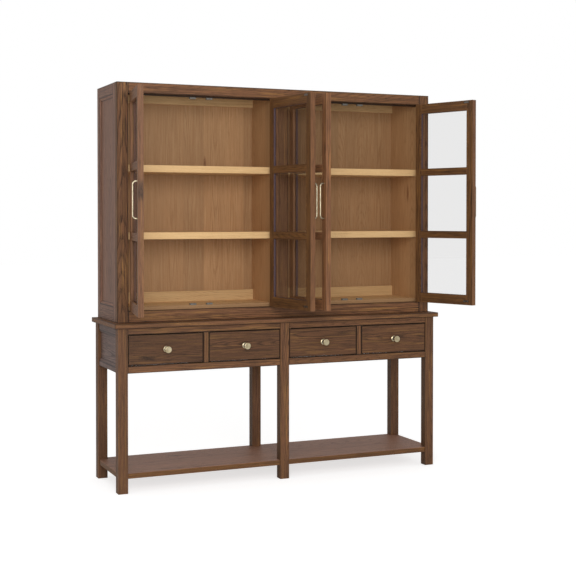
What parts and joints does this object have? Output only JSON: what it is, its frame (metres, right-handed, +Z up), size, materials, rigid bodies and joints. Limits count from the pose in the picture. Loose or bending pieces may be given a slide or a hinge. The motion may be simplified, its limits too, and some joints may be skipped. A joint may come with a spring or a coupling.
{
  "type": "dresser with glazed hutch",
  "caption": "Wooden dresser: base with drawers and an open low shelf, and a hutch with shelves behind tall glazed doors on knife hinges.",
  "frame": {"origin": "centre of the underside of the front centre leg", "axes": "+X to the right of someone facing the front, +Y to the back, +Z up"},
  "size_m": [2.0467, 0.8603, 2.21],
  "materials": {
    "dark_oak": "wire-brushed oak, dark brown stain, matt",
    "natural_oak": "natural oak, matt lacquer",
    "clear_glass": "clear, 4 mm",
    "satin_brass": "satin, lacquered",
    "dark_bronze": "dark bronzed",
    "graphite_bead": "painted graphite, matt",
    "catch_grey": "moulded magnetic catch"
  },
  "bodies": {
    "cabinet": {"leg_front_left": "dark_oak", "leg_front_centre": "dark_oak", "leg_front_right": "dark_oak", "leg_back_left": "dark_oak", "leg_back_centre": "dark_oak", "leg_back_right": "dark_oak", "countertop": "dark_oak", "low_shelf": "dark_oak", "apron_rails": "dark_oak", "drawer_dividers": "dark_oak", "base_back_boards": "dark_oak", "drawer_runners": "natural_oak", "base_side_left": "dark_oak", "base_side_right": "dark_oak", "face_stiles": "dark_oak", "face_rails": "dark_oak", "hutch_side_left": "dark_oak", "hutch_side_right": "dark_oak", "hutch_top": "dark_oak", "hutch_back": "natural_oak", "linings": "natural_oak", "hutch_floors": "natural_oak", "hutch_shelves": "natural_oak", "back_cleats": "natural_oak", "door_stops": "dark_oak", "door_catches": "catch_grey", "hinge_plates": "dark_bronze"},
    "door_1": {"door_1_frame": "dark_oak", "door_1_glass": "clear_glass", "door_1_beads": "graphite_bead", "door_1_hardware": "dark_bronze", "door_1_pull": "satin_brass"},
    "door_2": {"door_2_frame": "dark_oak", "door_2_glass": "clear_glass", "door_2_beads": "graphite_bead", "door_2_hardware": "dark_bronze", "door_2_pull": "satin_brass"},
    "door_3": {"door_3_frame": "dark_oak", "door_3_glass": "clear_glass", "door_3_beads": "graphite_bead", "door_3_hardware": "dark_bronze", "door_3_pull": "satin_brass"},
    "door_4": {"door_4_frame": "dark_oak", "door_4_glass": "clear_glass", "door_4_beads": "graphite_bead", "door_4_hardware": "dark_bronze", "door_4_pull": "satin_brass"},
    "drawer_1": {"drawer_1_front": "dark_oak", "drawer_1_box": "natural_oak", "drawer_1_knob": "satin_brass"},
    "drawer_2": {"drawer_2_front": "dark_oak", "drawer_2_box": "natural_oak", "drawer_2_knob": "satin_brass"},
    "drawer_3": {"drawer_3_front": "dark_oak", "drawer_3_box": "natural_oak", "drawer_3_knob": "satin_brass"},
    "drawer_4": {"drawer_4_front": "dark_oak", "drawer_4_box": "natural_oak", "drawer_4_knob": "satin_brass"}
  },
  "joints": [
    {"name": "door_1_hinge", "type": "hinge", "parent": "cabinet", "child": "door_1", "pos_m": [-0.89525, 0.018, 0.978], "axis": [0, 0, -1], "range_deg": [-100.5, 79.5]},
    {"name": "door_2_hinge", "type": "hinge", "parent": "cabinet", "child": "door_2", "pos_m": [-0.04275, 0.018, 0.978], "axis": [0, 0, 1], "range_deg": [-98.5, 0]},
    {"name": "door_3_hinge", "type": "hinge", "parent": "cabinet", "child": "door_3", "pos_m": [0.04275, 0.018, 0.978], "axis": [0, 0, -1], "range_deg": [-86, 0]},
    {"name": "door_4_hinge", "type": "hinge", "parent": "cabinet", "child": "door_4", "pos_m": [0.89525, 0.018, 0.978], "axis": [0, 0, 1], "range_deg": [-110, 70]},
    {"name": "drawer_1_slide", "type": "slide", "parent": "cabinet", "child": "drawer_1", "axis": [0, -1, 0], "range_m": [0, 0.3]},
    {"name": "drawer_2_slide", "type": "slide", "parent": "cabinet", "child": "drawer_2", "axis": [0, -1, 0], "range_m": [0, 0.3]},
    {"name": "drawer_3_slide", "type": "slide", "parent": "cabinet", "child": "drawer_3", "axis": [0, -1, 0], "range_m": [0, 0.3]},
    {"name": "drawer_4_slide", "type": "slide", "parent": "cabinet", "child": "drawer_4", "axis": [0, -1, 0], "range_m": [0, 0.3]}
  ]
}
